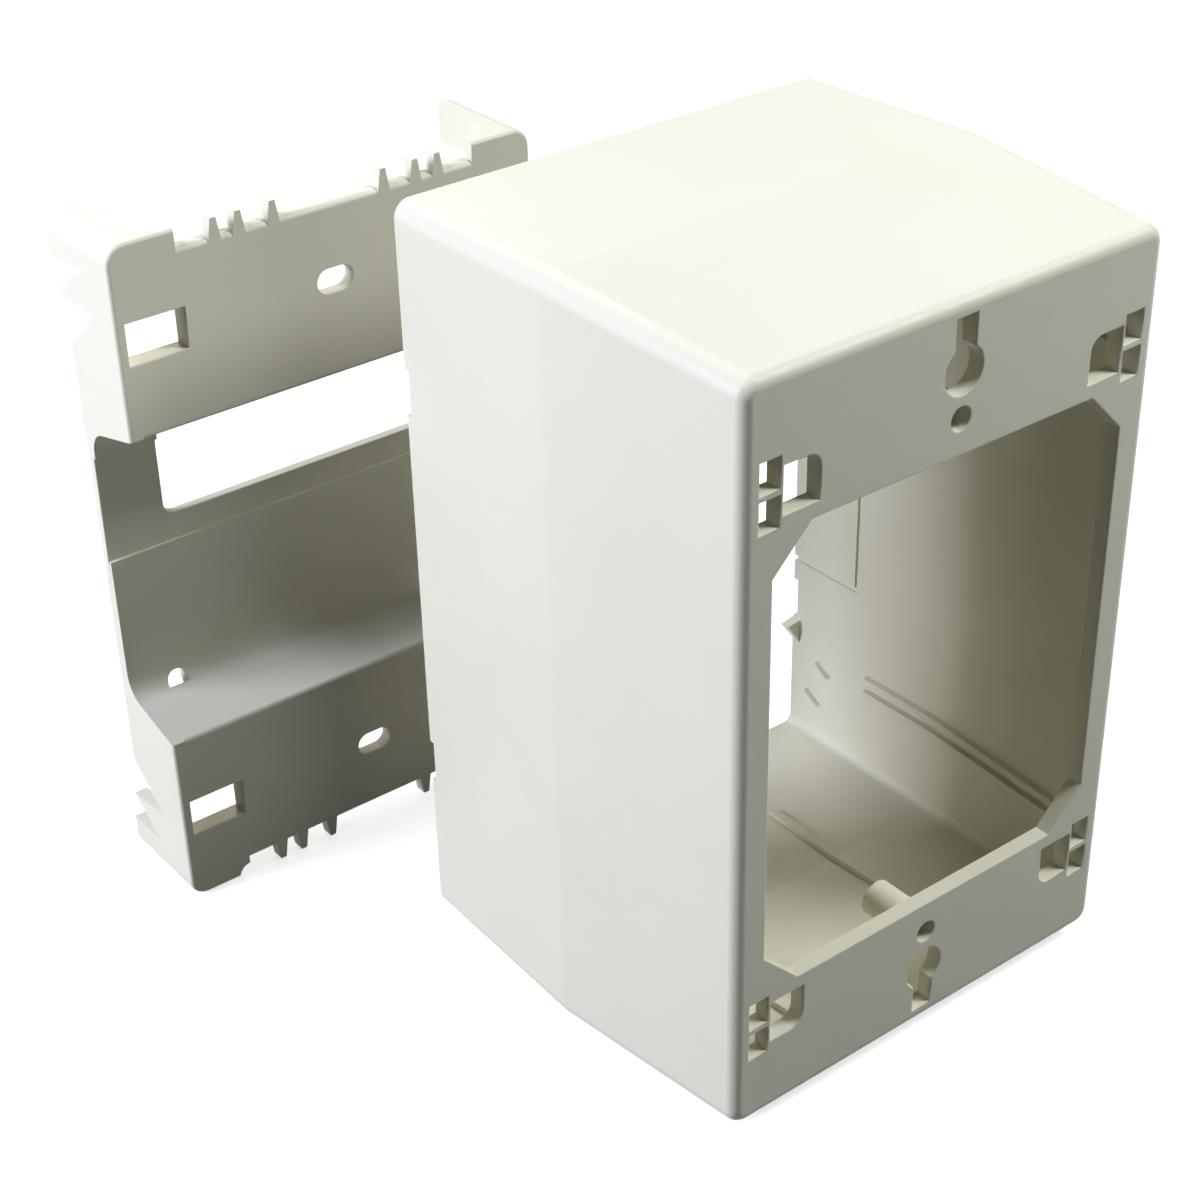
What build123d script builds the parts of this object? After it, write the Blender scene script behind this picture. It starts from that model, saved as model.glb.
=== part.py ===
from build123d import *
from math import atan, degrees
import os

# Deep switch box for surface wiring: a moulded box and the base plate that it snaps onto
# The base plate stands behind the box, taken off its back, and all sizes are in millimetres

# Box outline, which widens from the front plate to the parting line and closes in again behind it
front_width = 73.5
front_height = 116.5
box_depth = 69.6
parting_depth = 36.0
front_draft = 2.4
back_draft = 0.65
corner_radius = 2.7
front_edge_radius = 1.8

# Box walls
plate_thick = 2.5
side_wall = 1.8
end_wall = 3.0

# Device opening in the front plate
opening_width = 63.0
opening_height = 72.6
opening_chamfer = 6.33

# Device screw holes and the bosses behind them
screw_spacing = 83.34
screw_hole = 3.4
boss_diameter = 5.6
boss_length = 8.0

# Keyholes, as heights above and below the middle of the plate
keyhole_level = 48.42
keyhole_end = 55.9
keyhole_round = 6.8
keyhole_slot = 3.5

# Cut-outs in the corners of the plate: a window, and a column of two slits beside the wall
clip_level = 42.0
clip_bar = 1.0
column_wall_gap = 1.2
column_width = 3.2
column_height = 9.7
window_gap = 0.7
window_width = 5.9
window_height = 6.7
window_radius = 2.0

# Pairs of rails along the side walls, the outer one in line with the bars of the corner cut-outs
rail_thick = 1.2
rail_height = 1.1
rail_pitch = 2.6

# Low ribs along the end walls, as far back as the rails
rib_place = 16.0
rib_thick = 1.2
rib_height = 1.0

# Scored knock-out in each side wall
knockout_length = 15.5
knockout_height = 48.5
score_width = 1.0
score_depth = 0.7

# Base plate, which slides into the back of the box
base_clearance = 0.4
base_depth = 18.0
base_wall = 2.2
block_height = 30.1
block_slope = 3.4
plate_front = 12.9
hat_radius = 4.5
block_radius = 0.8
wall_round = 0.9

# Lugs and arms at the corners of the base plate
lug_width = 10.8
lug_height = 2.9
lug_round = 3.0
lug_end_round = 2.0
arm_width = 4.8
arm_height = 6.4
arm_round = 2.0
arm_tip_round = 0.8
lug_sweep = 5.6
front_round = 0.6

# Snap teeth along the rear edge of each flank, as drops below the lug's top
first_notch_depth = 9.2
first_notch_drop = 6.2
tooth_drop = 11.8
second_notch_depth = 6.8
second_notch_drop = 12.8
flank_drop = 19.6
tooth_setback = 1.2

# Catches and hooks of the box that hold the base plate by those teeth
catch_gap = 0.35
catch_back = 1.5
catch_length = 3.0
catch_rise = 1.8
catch_height = 1.2
hook_thick = 2.0
hook_reach = 2.7
hook_level = 35.2
hook_drop = 0.8
hook_height = 4.8
relief_height = 7.2
relief_depth = 1.2

# Prongs between the lugs
prong_places = (9.5, 15.2, 19.2)
prong_root = 2.2
prong_tip = 1.0

# Holes in the blocks
square_width = 9.4
square_height = 6.4
square_inset = 6.4
square_drop = 15.2
collar_wall = 1.0
collar_depth = 3.2
slot_length = 6.1
slot_width = 3.8

# Middle of the base plate: the wire opening, the thinner field round it and two round holes
wire_width = 51.8
wire_low = 5.1
wire_gap = 0.7
wire_radius = 2.0
field_low = 0.7
field_depth = 0.6
peg_hole = 4.2
peg_inset = 8.0
peg_sink = 0.7

# How far the base plate stands to the left of the box and behind it
base_aside = 32.0
base_behind = 27.2

# Sizes that follow from the ones above
mid_width = front_width + 2 * front_draft
mid_height = front_height + 2 * front_draft
back_length = box_depth - parting_depth
back_width = mid_width - 2 * back_draft
back_height = mid_height - 2 * back_draft
base_width = back_width - 2 * side_wall - 2 * base_clearance
base_height = back_height - 2 * end_wall - 2 * base_clearance
stop_depth = box_depth - base_depth
rail_end = stop_depth - base_clearance
half_base = base_width / 2
half_rise = base_height / 2
plate_rear = plate_front + base_wall

# The origin is the middle of the common footprint, on the floor
left_reach = base_aside + half_base
box_x = (left_reach - mid_width / 2) / 2
base_x = box_x - base_aside
box_y = -(box_depth + base_behind + base_depth) / 2
base_y = box_y + box_depth + base_behind

# Working planes: fronts have X across and Y up, sides have X to the back and Y up
box_middle = (box_x, box_y, mid_height / 2)
base_middle = (base_x, base_y, half_rise)
box_front = Plane(origin=box_middle, x_dir=(1, 0, 0), z_dir=(0, -1, 0))
box_side = Plane(origin=box_middle, x_dir=(0, 1, 0), z_dir=(1, 0, 0))
box_rear = Plane(origin=box_middle, x_dir=(-1, 0, 0), z_dir=(0, 1, 0))
base_front = Plane(origin=base_middle, x_dir=(1, 0, 0), z_dir=(0, -1, 0))
base_side = Plane(origin=base_middle, x_dir=(0, 1, 0), z_dir=(1, 0, 0))
base_top = Plane(origin=(base_x, base_y, base_height), x_dir=(1, 0, 0), z_dir=(0, 0, 1))
base_level = Plane(origin=base_middle, x_dir=(1, 0, 0), z_dir=(0, 0, 1))


def inner_size(depth):
    """Width and height between the inner faces of the walls at a depth behind the front face."""
    growth = front_draft * depth / parting_depth
    if depth > parting_depth:
        growth = front_draft - back_draft * (depth - parting_depth) / back_length
    return front_width + 2 * (growth - side_wall), front_height + 2 * (growth - end_wall)


def slope_level(depth):
    """Height above the base plate's middle of the sloping wall under the upper block."""
    return half_rise - block_height - block_slope * depth / plate_front


# The cavity is the space inside the box, less everything that stands out from the walls
with BuildPart() as cavity:
    for near, far in ((plate_thick, parting_depth), (parting_depth, box_depth)):
        for depth in (near, far):
            with BuildSketch(box_front.offset(-depth)):
                RectangleRounded(*inner_size(depth), corner_radius / 2)
        loft(ruled=True)
    # Room taken by the rails, given back between them by a slimmer core
    with BuildSketch(box_front.offset(-plate_thick)):
        for level in (clip_level, clip_level - rail_pitch):
            with Locations((0, level), (0, -level)):
                Rectangle(mid_width, rail_thick)
    extrude(amount=plate_thick - rail_end, mode=Mode.SUBTRACT)
    for near, far in ((plate_thick, parting_depth), (parting_depth, box_depth)):
        for depth in (near, far):
            with BuildSketch(box_front.offset(-depth)):
                width, height = inner_size(depth)
                RectangleRounded(width - 2 * rail_height, height, corner_radius / 2)
        loft(ruled=True)
    # Scored line round each knock-out, open at the back edge
    panel_length = knockout_length - score_width
    panel_height = knockout_height - 2 * score_width
    with BuildSketch(box_side):
        with Locations((box_depth, 0)):
            Rectangle(2 * knockout_length, knockout_height)
            Rectangle(2 * panel_length, panel_height, mode=Mode.SUBTRACT)
    extrude(amount=inner_size(box_depth)[0] / 2 + score_depth, both=True)
    # Screw bosses behind the plate
    with BuildSketch(box_front.offset(-plate_thick)):
        with Locations((0, screw_spacing / 2), (0, -screw_spacing / 2)):
            Circle(boss_diameter / 2)
    extrude(amount=-boss_length, mode=Mode.SUBTRACT)
    # Ribs along the end walls, which follow their draft
    rib_top = [(depth, inner_size(depth)[1] / 2 - rib_height) for depth in (plate_thick, parting_depth, rail_end)]
    for place in (rib_place, -rib_place):
        with BuildSketch(box_side.offset(place)):
            with BuildLine():
                Polyline(*rib_top, (rail_end, mid_height / 2), (plate_thick, mid_height / 2), close=True)
            make_face()
            mirror(about=Plane.XZ)
        extrude(amount=rib_thick / 2, both=True, mode=Mode.SUBTRACT)
    # Hooks across the back edges of the side walls
    with BuildSketch(box_front.offset(hook_thick - box_depth)):
        wall_face = inner_size(box_depth)[0] / 2
        with BuildLine():
            Polyline(
                (wall_face + side_wall, hook_level),
                (wall_face - hook_reach, hook_level + hook_drop),
                (wall_face, hook_level + hook_height),
                (wall_face + side_wall, hook_level + hook_height),
                close=True,
            )
        make_face()
        mirror(about=Plane.XZ)
        mirror(about=Plane.YZ)
    extrude(amount=-hook_thick, mode=Mode.SUBTRACT)
    # Wedge catches that lie in the notches of the base plate
    for side in (1, -1):
        with BuildSketch(box_side.offset(side * (inner_size(stop_depth)[0] / 2 - catch_height))):
            for notch_depth, notch_drop in (
                (first_notch_depth, first_notch_drop),
                (second_notch_depth, second_notch_drop),
            ):
                catch_front = stop_depth + notch_depth + catch_back
                catch_level = half_rise - notch_drop - catch_gap
                with BuildLine():
                    Polyline(
                        (catch_front, catch_level),
                        (catch_front + catch_length, catch_level),
                        (catch_front + catch_length, catch_level - catch_rise),
                        close=True,
                    )
                make_face()
            mirror(about=Plane.XZ)
        extrude(amount=side * (catch_height + side_wall), mode=Mode.SUBTRACT)

# Outside of the box as the front half has it, widening from the front plate
with BuildPart() as front_form:
    with BuildSketch(box_front):
        Rectangle(front_width, front_height)
    extrude(amount=-box_depth)
    front_sides = front_form.faces() - front_form.faces().filter_by(Axis.Y)
    draft(front_sides, box_rear, -degrees(atan(front_draft / parting_depth)))
    fillet(front_form.edges().group_by(Axis.Y)[1], radius=corner_radius)
    fillet(front_form.faces().sort_by(Axis.Y)[0].edges(), radius=front_edge_radius)

# Outside of the box as the back half has it, closing in towards the rim
with BuildPart() as back_form:
    with BuildSketch(box_front):
        Rectangle(mid_width, mid_height)
    extrude(amount=-box_depth)
    back_sides = back_form.faces() - back_form.faces().filter_by(Axis.Y)
    draft(back_sides, box_rear.offset(parting_depth), degrees(atan(back_draft / back_length)))
    fillet(back_form.edges().group_by(Axis.Y)[1], radius=corner_radius)

# The box: what the two forms share, hollowed by the cavity, with its front plate pierced
with BuildPart() as box_shell:
    add(front_form.part)
    add(back_form.part, mode=Mode.INTERSECT)
    add(cavity.part, mode=Mode.SUBTRACT)
    # Relief in the back edge of the side walls, beside each hook
    with BuildSketch(box_side):
        for level in (hook_level - relief_height / 2, relief_height / 2 - hook_level):
            with Locations((box_depth, level)):
                Rectangle(2 * relief_depth, relief_height)
    extrude(amount=mid_width / 2, both=True, mode=Mode.SUBTRACT)
    # Device opening with cut corners
    with BuildSketch(box_front) as opening:
        Rectangle(opening_width, opening_height)
        chamfer(opening.vertices(), length=opening_chamfer)
    extrude(amount=-plate_thick, mode=Mode.SUBTRACT)
    # Keyholes, with the narrow end outwards
    with BuildSketch(box_front):
        with Locations((0, keyhole_level), (0, -keyhole_level)):
            Circle(keyhole_round / 2)
        for level in (keyhole_level, -keyhole_level):
            reach = keyhole_end - keyhole_level
            with Locations((0, level + (reach if level > 0 else -reach) / 2)):
                Rectangle(keyhole_slot, reach)
    extrude(amount=-plate_thick, mode=Mode.SUBTRACT)
    # Corner cut-outs, drawn once and mirrored to the other corners
    column_outer = inner_size(plate_thick)[0] / 2 - column_wall_gap
    window_outer = column_outer - column_width - window_gap
    with BuildSketch(box_front):
        with Locations((window_outer - window_width / 2, clip_level)):
            window = Rectangle(window_width, window_height)
        fillet(window.vertices().group_by(Axis.X)[0].sort_by(Axis.Y)[-1], radius=window_radius)
        with Locations((column_outer - column_width / 2, clip_level)):
            Rectangle(column_width, column_height)
            Rectangle(column_width, clip_bar, mode=Mode.SUBTRACT)
        mirror(about=Plane.XZ)
        mirror(about=Plane.YZ)
    extrude(amount=-plate_thick, mode=Mode.SUBTRACT)
    # Screw holes through the plate and the bosses
    with BuildSketch(box_front):
        with Locations((0, screw_spacing / 2), (0, -screw_spacing / 2)):
            Circle(screw_hole / 2)
    extrude(amount=-(plate_thick + boss_length), mode=Mode.SUBTRACT)

# The base plate: its upper right quarter is modelled and mirrored, and then the middle is pierced
with BuildPart() as base_plate:
    # Hat section: front wall of the block, sloping wall, middle plate
    with BuildSketch(base_side) as hat:
        with BuildLine():
            Polyline(
                (0, half_rise - lug_height),
                (0, slope_level(0)),
                (plate_front, slope_level(plate_front)),
                (plate_front, 0),
                (plate_rear, 0),
                (plate_rear, slope_level(plate_rear) + base_wall),
                (base_wall, slope_level(base_wall) + base_wall),
                (base_wall, half_rise - lug_height),
                close=True,
            )
        make_face()
        fillet(hat.vertices().group_by(Axis.X)[-2].sort_by(Axis.Y)[-1], hat_radius)
        fillet(hat.vertices().group_by(Axis.X)[0].sort_by(Axis.Y)[0], block_radius)
        fillet(hat.vertices().group_by(Axis.X)[0].sort_by(Axis.Y)[-1], wall_round)
    extrude(amount=half_base)
    # Flank with its snap teeth
    with BuildSketch(base_side.offset(half_base - base_wall)):
        with BuildLine():
            Polyline(
                (0, half_rise),
                (base_depth, half_rise),
                (base_depth, half_rise - arm_height),
                (first_notch_depth, half_rise - first_notch_drop),
                (base_depth - tooth_setback, half_rise - tooth_drop),
                (second_notch_depth, half_rise - second_notch_drop),
                (plate_rear, half_rise - flank_drop),
                (plate_rear, slope_level(plate_front)),
                (plate_front, slope_level(plate_front)),
                (0, slope_level(0)),
                close=True,
            )
        make_face()
    extrude(amount=base_wall)
    # Lug on the front wall, swept back into the arm
    with BuildSketch(base_top) as lug:
        with BuildLine():
            Polyline(
                (half_base - lug_width, 0),
                (half_base, 0),
                (half_base, base_depth),
                (half_base - arm_width, base_depth),
                (half_base - arm_width, base_wall),
                (half_base - lug_width, base_wall),
                close=True,
            )
        make_face()
        fillet(lug.vertices().group_by(Axis.Y)[-1].sort_by(Axis.X)[-1], arm_round)
        fillet(lug.vertices().group_by(Axis.Y)[-1].sort_by(Axis.X)[0], arm_tip_round)
        fillet(lug.vertices().group_by(Axis.Y)[1].sort_by(Axis.X)[-1], lug_sweep)
    extrude(amount=-(lug_height + wall_round))
    with BuildSketch(base_top) as arm:
        with Locations((half_base - arm_width / 2, base_depth / 2)):
            Rectangle(arm_width, base_depth)
        fillet(arm.vertices().group_by(Axis.Y)[-1].sort_by(Axis.X)[-1], arm_round)
        fillet(arm.vertices().group_by(Axis.Y)[-1].sort_by(Axis.X)[0], arm_tip_round)
    extrude(amount=-first_notch_drop)
    # Prongs along the top of the front wall
    with BuildSketch(base_front):
        for place in prong_places:
            with BuildLine():
                Polyline(
                    (place - prong_root / 2, half_rise - lug_height - wall_round),
                    (place + prong_root / 2, half_rise - lug_height - wall_round),
                    (place + prong_tip / 2, half_rise),
                    (place - prong_tip / 2, half_rise),
                    close=True,
                )
            make_face()
    extrude(amount=-base_wall)
    # Square hole with a collar behind it
    with BuildSketch(base_front):
        with Locations((half_base - square_inset, half_rise - square_drop)):
            Rectangle(square_width + 2 * collar_wall, square_height + 2 * collar_wall)
    extrude(amount=-collar_depth)
    with BuildSketch(base_front):
        with Locations((half_base - square_inset, half_rise - square_drop)):
            Rectangle(square_width, square_height)
    extrude(amount=-collar_depth, mode=Mode.SUBTRACT)
    # Rounded outer corner of the lug and its arm
    outer_edges = base_plate.edges().filter_by(Axis.Y).group_by(Axis.X)[-1]
    fillet(outer_edges.group_by(Axis.Z)[-1], lug_round)
    # Softened front corner of the flank, which runs on round the lug
    corner_edges = base_plate.edges().filter_by(Axis.Z).group_by(Axis.Y)[0]
    fillet(corner_edges.group_by(Axis.X)[-1], front_round)
    mirror(about=base_level)
    mirror(about=base_side)
    # Rounded inner ends of the lower lugs
    lug_end = half_base - lug_width
    round_top = (lug_end, lug_end_round - half_rise)
    round_foot = (lug_end + lug_end_round, -half_rise)
    with BuildSketch(base_front):
        with BuildLine():
            Polyline(round_top, (lug_end, -half_rise), round_foot)
            RadiusArc(round_top, round_foot, lug_end_round)
        make_face()
        mirror(about=Plane.YZ)
    extrude(amount=-base_wall, mode=Mode.SUBTRACT)
    # Screw slots, as far apart as the device screws
    with BuildSketch(base_front):
        with Locations((0, screw_spacing / 2), (0, -screw_spacing / 2)):
            SlotOverall(slot_length, slot_width)
    extrude(amount=-base_wall, mode=Mode.SUBTRACT)
    # Thinner field in the upper half of the middle plate
    field_high = slope_level(plate_front) - hat_radius
    with BuildSketch(base_front.offset(-plate_front)):
        with Locations((0, (field_low + field_high) / 2)):
            Rectangle(base_width, field_high - field_low)
    extrude(amount=-field_depth, mode=Mode.SUBTRACT)
    # Wire opening below the upper block, cut through the rounded corner above it
    wire_high = slope_level(plate_front) - wire_gap
    with BuildSketch(base_front.offset(hat_radius - plate_front)) as wire:
        with Locations((0, (wire_low + wire_high) / 2)):
            Rectangle(wire_width, wire_high - wire_low)
        fillet(wire.vertices().group_by(Axis.Y)[0], wire_radius)
    extrude(amount=-(hat_radius + base_wall), mode=Mode.SUBTRACT)
    # Round holes at the foot of the middle plate
    peg_level = -slope_level(plate_front) - peg_sink
    with BuildSketch(base_front.offset(-plate_rear)):
        with Locations((half_base - peg_inset, peg_level), (peg_inset - half_base, peg_level)):
            Circle(peg_hole / 2)
    extrude(amount=2 * base_wall, mode=Mode.SUBTRACT)

os.makedirs("parts", exist_ok=True)
box_shell.part.label = "box_shell"
export_step(box_shell.part, "parts/box_shell.step")
base_plate.part.label = "base_plate"
export_step(base_plate.part, "parts/base_plate.step")
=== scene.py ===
# %% [markdown]
# A surface switch box in ivory plastic, and the base plate that it snaps onto.
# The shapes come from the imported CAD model, which is loaded first and never moved.
# This lesson gives them a camera, a floor, soft light, eased rims and a moulded plastic finish.

# %% Load the model
import math
import bmesh
import bpy
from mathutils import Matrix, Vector


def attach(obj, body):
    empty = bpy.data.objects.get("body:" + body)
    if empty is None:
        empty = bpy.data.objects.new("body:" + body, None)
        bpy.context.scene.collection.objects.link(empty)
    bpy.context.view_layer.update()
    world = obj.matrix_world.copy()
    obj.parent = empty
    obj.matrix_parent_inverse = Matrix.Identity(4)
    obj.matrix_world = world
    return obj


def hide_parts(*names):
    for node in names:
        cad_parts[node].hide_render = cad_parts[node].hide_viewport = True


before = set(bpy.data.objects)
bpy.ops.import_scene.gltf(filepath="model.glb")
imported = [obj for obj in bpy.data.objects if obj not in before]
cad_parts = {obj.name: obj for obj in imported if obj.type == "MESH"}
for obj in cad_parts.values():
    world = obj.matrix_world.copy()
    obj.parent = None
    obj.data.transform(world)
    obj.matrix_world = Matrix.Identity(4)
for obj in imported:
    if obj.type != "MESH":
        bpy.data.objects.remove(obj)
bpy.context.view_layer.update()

scene = bpy.context.scene
scene.view_settings.view_transform = "Standard"

# %% [markdown]
# The camera stands in front of the box, to its left and above it.
# It could be moved by eye until the picture looks right, but a fit is surer.
# Its place and its turn were found by fitting the corners of the box, so they are typed in as numbers.
# A long lens keeps the upright edges nearly parallel.

# %% Camera
camera_place = (-0.182985, -0.23895, 0.23896)
camera_turn = (58.444, 1.0915, -38.167)
camera_lens = 70.37
camera_film = 36.0
nearest_view = 0.01

bpy.ops.object.select_all(action="DESELECT")
bpy.ops.object.camera_add(location=camera_place, rotation=[math.radians(a) for a in camera_turn])
camera = bpy.context.object
camera.name = "photo_camera"
camera.data.lens = camera_lens
camera.data.sensor_width = camera_film
camera.data.sensor_fit = "HORIZONTAL"
camera.data.clip_start = nearest_view
scene.camera = camera
print("camera at", [round(v, 3) for v in camera.location])

# %% [markdown]
# Floor, room and plastic are all made of nodes, and the same few moves come back in each.
# Three small helpers make those moves, which keeps the later cells short.
# The second tells the rays that show a surface, straight or in a reflection, from those that only carry light.

# %% Node helpers
def put(tree, kind, **settings):
    """Adds a node, sets its own settings and the values of its input sockets by name."""
    node = tree.nodes.new(kind)
    for name, value in settings.items():
        if hasattr(node, name):
            setattr(node, name, value)
        else:
            node.inputs[name.replace("_", " ")].default_value = value
    return node


def showing_rays(tree):
    """Gives a socket that is 1 for rays from the camera, off a gloss or through glass."""
    rays = put(tree, "ShaderNodeLightPath")
    direct = put(tree, "ShaderNodeMath", operation="MAXIMUM")
    tree.links.new(rays.outputs["Is Camera Ray"], direct.inputs[0])
    tree.links.new(rays.outputs["Is Glossy Ray"], direct.inputs[1])
    showing = put(tree, "ShaderNodeMath", operation="MAXIMUM")
    tree.links.new(direct.outputs[0], showing.inputs[0])
    tree.links.new(rays.outputs["Is Transmission Ray"], showing.inputs[1])
    return showing.outputs[0]


def show_or_light(tree, lighting, shown, output):
    """Ends a tree with one shader for the light it gives and another for what is seen of it."""
    choose = put(tree, "ShaderNodeMixShader")
    tree.links.new(showing_rays(tree), choose.inputs[0])
    tree.links.new(lighting.outputs[0], choose.inputs[1])
    tree.links.new(shown.outputs[0], choose.inputs[2])
    end = put(tree, output)
    tree.links.new(choose.outputs[0], end.inputs["Surface"])


print("helpers:", put.__name__, showing_rays.__name__, show_or_light.__name__)

# %% [markdown]
# The box stands on a white table. A large plane is enough for it, because nothing else of it is seen.
# It lies a hair below the object, so that the two faces don't fight for the same place.

# %% Floor
floor_size = 3.0
floor_drop = 0.0002

bpy.ops.object.select_all(action="DESELECT")
bpy.ops.mesh.primitive_plane_add(size=floor_size, location=(0, 0, -floor_drop))
floor = bpy.context.object
floor.name = "table_top"
print("floor", floor_size, "m across")

# %% [markdown]
# The table shows white to the camera and still takes the shadow, while the light that it throws up is a dull grey.
# It could be one white paint, but that would fill the dark hollows of the object with light from below.
# Away from the object, where the lamps don't reach, its own glow rises to full white, so that no horizon shows.

# %% Floor paint
floor_white = (0.65, 0.65, 0.65, 1.0)
floor_dull = (0.05, 0.05, 0.05, 1.0)
floor_glow = 0.72
full_glow = 1.0
glow_start = 0.20
glow_full = 0.65

floor_paint = bpy.data.materials.new("white_table")
floor_paint.use_nodes = True
tree = floor_paint.node_tree
tree.nodes.clear()
spot = put(tree, "ShaderNodeTexCoord")
away = put(tree, "ShaderNodeVectorMath", operation="LENGTH")
tree.links.new(spot.outputs["Object"], away.inputs[0])
rise = put(tree, "ShaderNodeMapRange", From_Min=glow_start, From_Max=glow_full,
           To_Min=floor_glow, To_Max=full_glow)
tree.links.new(away.outputs["Value"], rise.inputs["Value"])
glow = put(tree, "ShaderNodeEmission")
tree.links.new(rise.outputs["Result"], glow.inputs["Strength"])
white = put(tree, "ShaderNodeBsdfDiffuse", Color=floor_white)
lit = put(tree, "ShaderNodeAddShader")
tree.links.new(white.outputs[0], lit.inputs[0])
tree.links.new(glow.outputs[0], lit.inputs[1])
dull = put(tree, "ShaderNodeBsdfDiffuse", Color=floor_dull)
show_or_light(tree, dull, lit, "ShaderNodeOutputMaterial")
floor.data.materials.append(floor_paint)
print("floor takes", floor_paint.name)

# %% [markdown]
# Around the table is a plain white room, which could be modelled as walls.
# A world that shows white behind the object does the same with less work.
# It adds almost no light of its own, so the hollows stay dark.

# %% World
room_white = (1.0, 1.0, 1.0, 1.0)
room_light = 0.01
room_shown = 1.0

world = bpy.data.worlds.new("white_room")
scene.world = world
world.use_nodes = True
tree = world.node_tree
tree.nodes.clear()
room = put(tree, "ShaderNodeBackground", Color=room_white, Strength=room_light)
backdrop = put(tree, "ShaderNodeBackground", Color=room_white, Strength=room_shown)
show_or_light(tree, room, backdrop, "ShaderNodeOutputWorld")
print("room light", room_light)

# %% [markdown]
# Soft studio light comes from square panels, each turned towards the middle of the object.
# Two panels on the left stand a little behind it, so they light the long side and reach in through the open back.
# A small one high on the left stands level with the base plate. It whitens the top and shines along the ramp.
# One high at the front on the right gives the front plate its half tone and lights the inner floor.
# The box keeps its light off the lower half of the base plate, so that half stays dark.
# A weak one behind the right side brightens the inner floor through the open back.
# The high panels on the left are a little cool, as daylight is, so that the ivory looks neutral there.
# The two that shine in through the back are a little warm, as light is that has come off other ivory walls.

# %% Lamps
cool = (0.94, 0.965, 1.20)
plain = (0.99, 1.0, 1.02)
warm = (1.06, 1.0, 0.84)
lamp_aim = (0.0, 0.0, 0.06)


def panel(name, place, size, power, colour):
    """Adds a square area lamp at a place, turned towards the middle of the object."""
    bpy.ops.object.select_all(action="DESELECT")
    bpy.ops.object.light_add(type="AREA", location=place)
    lamp = bpy.context.object
    lamp.name = name
    lamp.data.size = size
    lamp.data.energy = power
    lamp.data.color = colour
    aim = Vector(lamp_aim) - Vector(place)
    lamp.rotation_euler = aim.to_track_quat("-Z", "Y").to_euler()
    print(name, "power", power)


panel("left_panel", (-0.75, 0.25, 0.45), 0.30, 6.4, cool)
panel("low_left_panel", (-0.75, 0.36, 0.15), 0.30, 1.4, warm)
panel("top_panel", (-0.45, 0.05, 0.68), 0.12, 1.3, cool)
panel("front_panel", (0.30, -0.27, 0.50), 0.20, 2.65, plain)
panel("back_panel", (0.22, 0.62, 0.50), 0.25, 1.25, warm)

# %% [markdown]
# The box and the base plate are one moulding each, and the model already has their shapes.
# They could be modelled again from primitives, but a copy of each solid keeps every size right.
# A solid comes as loose triangles, so the copy's corners are merged before its edges are worked on.
# The copies carry the shading of the solids, which no longer fits after a bevel, so it is cleared.

# %% Copies of the solids
merge_gap = 0.000001


def work_on(piece):
    """Makes a piece the only selected object, and the active one."""
    bpy.ops.object.select_all(action="DESELECT")
    piece.select_set(True)
    bpy.context.view_layer.objects.active = piece


def merged_copy(node_name, piece_name):
    """Copies a solid and merges the corners of its triangles."""
    piece = bpy.data.objects.new(piece_name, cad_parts[node_name].data.copy())
    scene.collection.objects.link(piece)
    work_on(piece)
    bpy.ops.mesh.customdata_custom_splitnormals_clear()
    bpy.ops.object.mode_set(mode="EDIT")
    bpy.ops.mesh.select_all(action="SELECT")
    bpy.ops.mesh.remove_doubles(threshold=merge_gap)
    bpy.ops.object.mode_set(mode="OBJECT")
    print(piece_name, "starts with", len(piece.data.polygons), "faces")
    return piece


box = merged_copy("box_shell", "box_moulding")
base = merged_copy("base_plate", "base_moulding")

# %% [markdown]
# Where a hole meets a flat face, the edge of a moulding is eased a little, because a razor edge would tear.
# A bevel modifier could take every sharp edge, but it folds over where small ribs and teeth meet.
# Here only the rims of the holes, of the front plate and of the open back are bevelled.
# A rim is found by its place: both ends of an edge lie in one flat face, and the edge stands out sharply.
# The triangles of those flat faces are first made whole faces, so that the bevel has room.

# %% Eased rims
ease = 0.0003
ease_steps = 2
sharp = math.radians(60)
flat_gap = 0.000002
flat_angle = math.radians(0.5)


def lies_at(part, depth):
    """Tells whether all the corners of a face or an edge lie at one depth."""
    return all(abs(corner.co.y - depth) < flat_gap for corner in part.verts)


def is_rim(edge, depth, low, high):
    """Tells whether an edge stands out sharply at a depth, between two heights."""
    inside = lies_at(edge, depth) and all(low < end.co.z < high for end in edge.verts)
    return inside and edge.is_convex and edge.calc_face_angle(0.0) > sharp


def ease_rims(piece, rims):
    """Bevels the sharp rims of a piece, each given as a depth and the heights between which it lies."""
    work_on(piece)
    bpy.ops.object.mode_set(mode="EDIT")
    bpy.ops.mesh.select_mode(type="EDGE")
    bpy.ops.mesh.select_all(action="DESELECT")
    for face in bmesh.from_edit_mesh(piece.data).faces:
        if any(lies_at(face, depth) for depth, low, high in rims):
            face.select_set(True)
    bmesh.update_edit_mesh(piece.data)
    bpy.ops.mesh.dissolve_limited(angle_limit=flat_angle)
    bpy.ops.mesh.select_all(action="DESELECT")
    chosen = [edge for edge in bmesh.from_edit_mesh(piece.data).edges if any(is_rim(edge, *rim) for rim in rims)]
    for edge in chosen:
        edge.select_set(True)
    count = len(chosen)
    bmesh.update_edit_mesh(piece.data)
    bpy.ops.mesh.bevel(offset=ease, segments=ease_steps, affect="EDGES", clamp_overlap=False, loop_slide=False)
    bpy.ops.object.mode_set(mode="OBJECT")
    print(piece.name, "has", count, "eased edges and", len(piece.data.polygons), "faces")


# %% [markdown]
# The box is eased all round its front plate and its open back.
# The base plate is eased at the holes of its two blocks and at the wire opening in the field between them.
# The depths and heights are those of the model, in metres.

# %% Rims of the box and the base plate
box_front = -0.0574
box_back = 0.0122
block_front = 0.0394
field_front = 0.0529
lowest, highest = -1.0, 1.0

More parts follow.
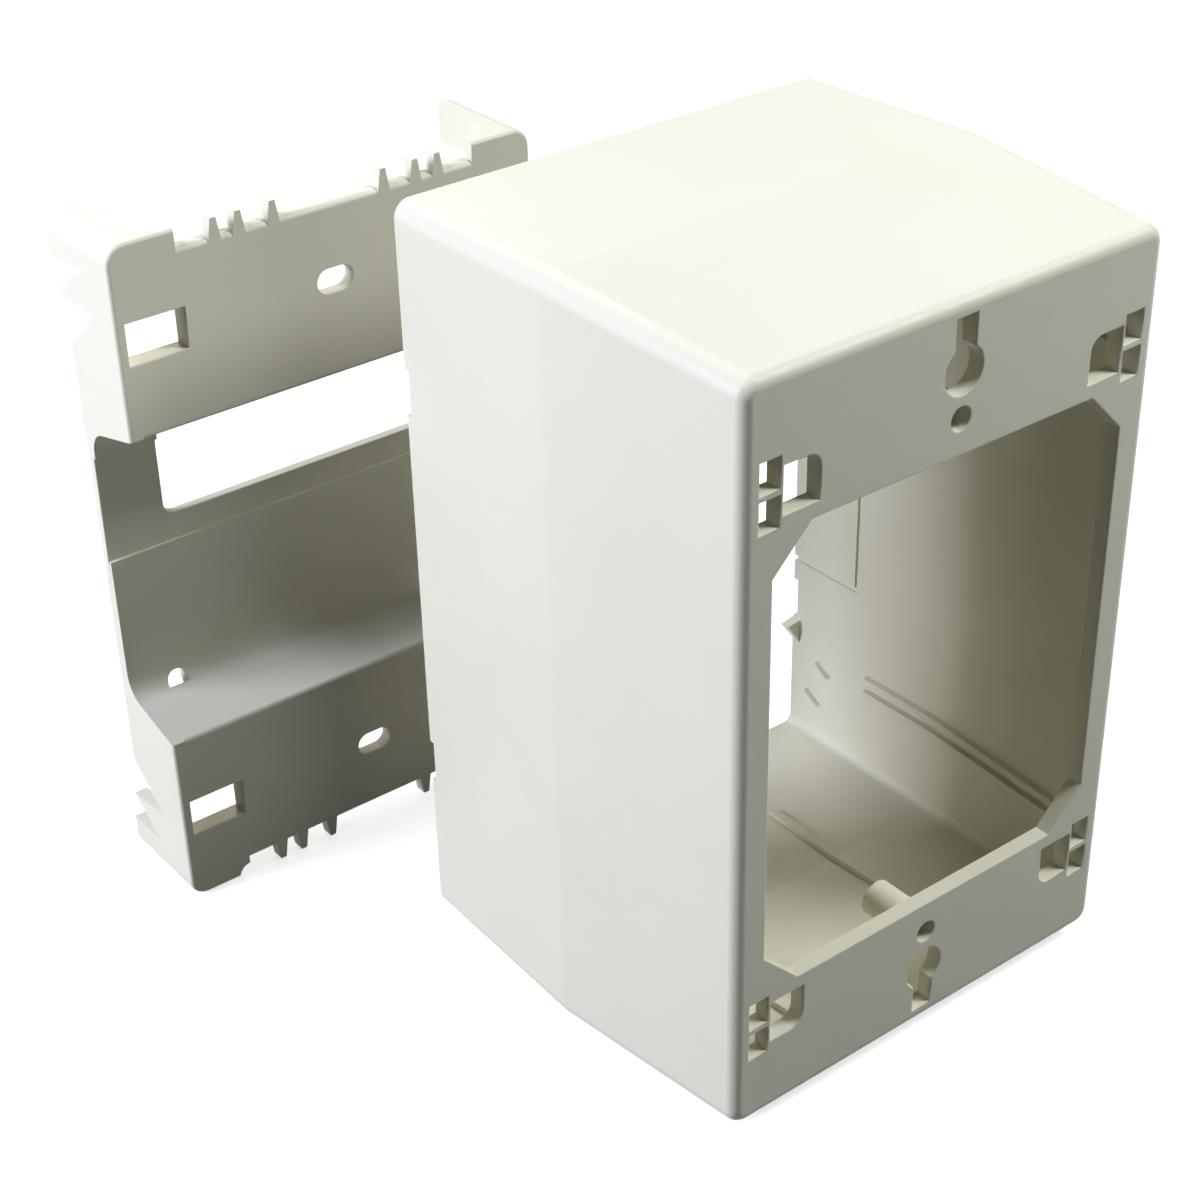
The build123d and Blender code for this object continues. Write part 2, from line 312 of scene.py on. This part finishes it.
ease_rims(box, [
    (box_front, lowest, highest),
    (box_back, lowest, highest),
])
ease_rims(base, [
    (block_front, 0.090, 0.106),
    (block_front, 0.007, 0.023),
    (field_front, 0.055, 0.085),
])

# %% [markdown]
# Round corners should shade smoothly, while large faces stay flat right up to the bevels.
# Smooth shading alone smears across a flat face, so the normals are weighted by the size of the faces.
# The parting line of the mould is a slight ridge that would be smoothed away, so it is marked as sharp.

# %% Shading
parting_line = -0.0214
smooth_angle = math.radians(40)
face_weight = 100


def shade(piece):
    """Shades the rounds of a piece smoothly and keeps its large faces flat."""
    work_on(piece)
    bpy.ops.object.shade_smooth_by_angle(angle=smooth_angle)
    bpy.ops.object.mode_set(mode="EDIT")
    bpy.ops.mesh.select_all(action="DESELECT")
    for edge in bmesh.from_edit_mesh(piece.data).edges:
        edge.select_set(lies_at(edge, parting_line))
    bmesh.update_edit_mesh(piece.data)
    bpy.ops.mesh.mark_sharp()
    bpy.ops.object.mode_set(mode="OBJECT")
    weighting = piece.modifiers.new("flat_faces", "WEIGHTED_NORMAL")
    weighting.weight = face_weight
    weighting.keep_sharp = True
    bpy.ops.object.modifier_apply(modifier=weighting.name)
    print(piece.name, "is shaded")


shade(box)
shade(base)

# %% [markdown]
# Each copy is shown in place of its solid, which stays in the scene, hidden.
# Each copy is shown in place of its solid, which stays in the model for touch.
# Nothing on the real object turns or slides, so both ride on the one body.

# %% What the copies stand for
for piece, node_name in ((box, "box_shell"), (base, "base_plate")):
    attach(piece, "root")
    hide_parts(node_name)
    print(piece.name, "stands for", node_name)

# %% [markdown]
# The plastic is an ivory moulding compound with a satin skin.
# One flat colour would look like paint, so cloudy noise shifts the tone a little.
# The noise reads the place on the object, so it needs no unwrapping.

# %% Ivory plastic, colour
ivory_light = (0.757, 0.749, 0.622, 1.0)
ivory_deep = (0.740, 0.730, 0.595, 1.0)
plastic_ior = 1.5
plastic_shine = 0.28
deep_below, light_above = 0.3, 0.7

plastic = bpy.data.materials.new("ivory_moulding")
plastic.use_nodes = True
tree = plastic.node_tree
shader = tree.nodes["Principled BSDF"]
shader.inputs["IOR"].default_value = plastic_ior
shader.inputs["Specular IOR Level"].default_value = plastic_shine
place = put(tree, "ShaderNodeTexCoord")
cloud = put(tree, "ShaderNodeTexNoise", Scale=38.0, Detail=3.0, Roughness=0.55)
tree.links.new(place.outputs["Object"], cloud.inputs["Vector"])
tone = put(tree, "ShaderNodeValToRGB")
deep, light = tone.color_ramp.elements
deep.position, deep.color = deep_below, ivory_deep
light.position, light.color = light_above, ivory_light
tree.links.new(cloud.outputs["Fac"], tone.inputs["Fac"])
tree.links.new(tone.outputs["Color"], shader.inputs["Base Color"])
print(plastic.name, "runs from", ivory_deep[:3], "to", ivory_light[:3])

# %% [markdown]
# The skin of a moulding has long faint streaks along the way it leaves the mould, from front to back.
# A noise that is stretched that way varies the gloss, and a fine grain breaks it up.

# %% Ivory plastic, skin
streak_stretch = (260.0, 18.0, 260.0)
smoothest, roughest = 0.36, 0.50
grain_fineness = 1500.0
grain_depth = 0.00004
grain_strength = 0.18

streak_map = put(tree, "ShaderNodeMapping", Scale=streak_stretch)
tree.links.new(place.outputs["Object"], streak_map.inputs["Vector"])
streak = put(tree, "ShaderNodeTexNoise", Scale=1.0, Detail=2.0)
tree.links.new(streak_map.outputs["Vector"], streak.inputs["Vector"])
gloss = put(tree, "ShaderNodeMapRange", From_Min=0.25, From_Max=0.75, To_Min=smoothest, To_Max=roughest)
tree.links.new(streak.outputs["Fac"], gloss.inputs["Value"])
tree.links.new(gloss.outputs["Result"], shader.inputs["Roughness"])
grain = put(tree, "ShaderNodeTexNoise", Scale=grain_fineness, Detail=2.0, Roughness=0.6)
tree.links.new(place.outputs["Object"], grain.inputs["Vector"])
skin = put(tree, "ShaderNodeBump", Strength=grain_strength, Distance=grain_depth)
tree.links.new(grain.outputs["Fac"], skin.inputs["Height"])
tree.links.new(skin.outputs["Normal"], shader.inputs["Normal"])
for piece in (box, base):
    piece.data.materials.clear()
    piece.data.materials.append(plastic)
    print(piece.name, "takes", plastic.name)
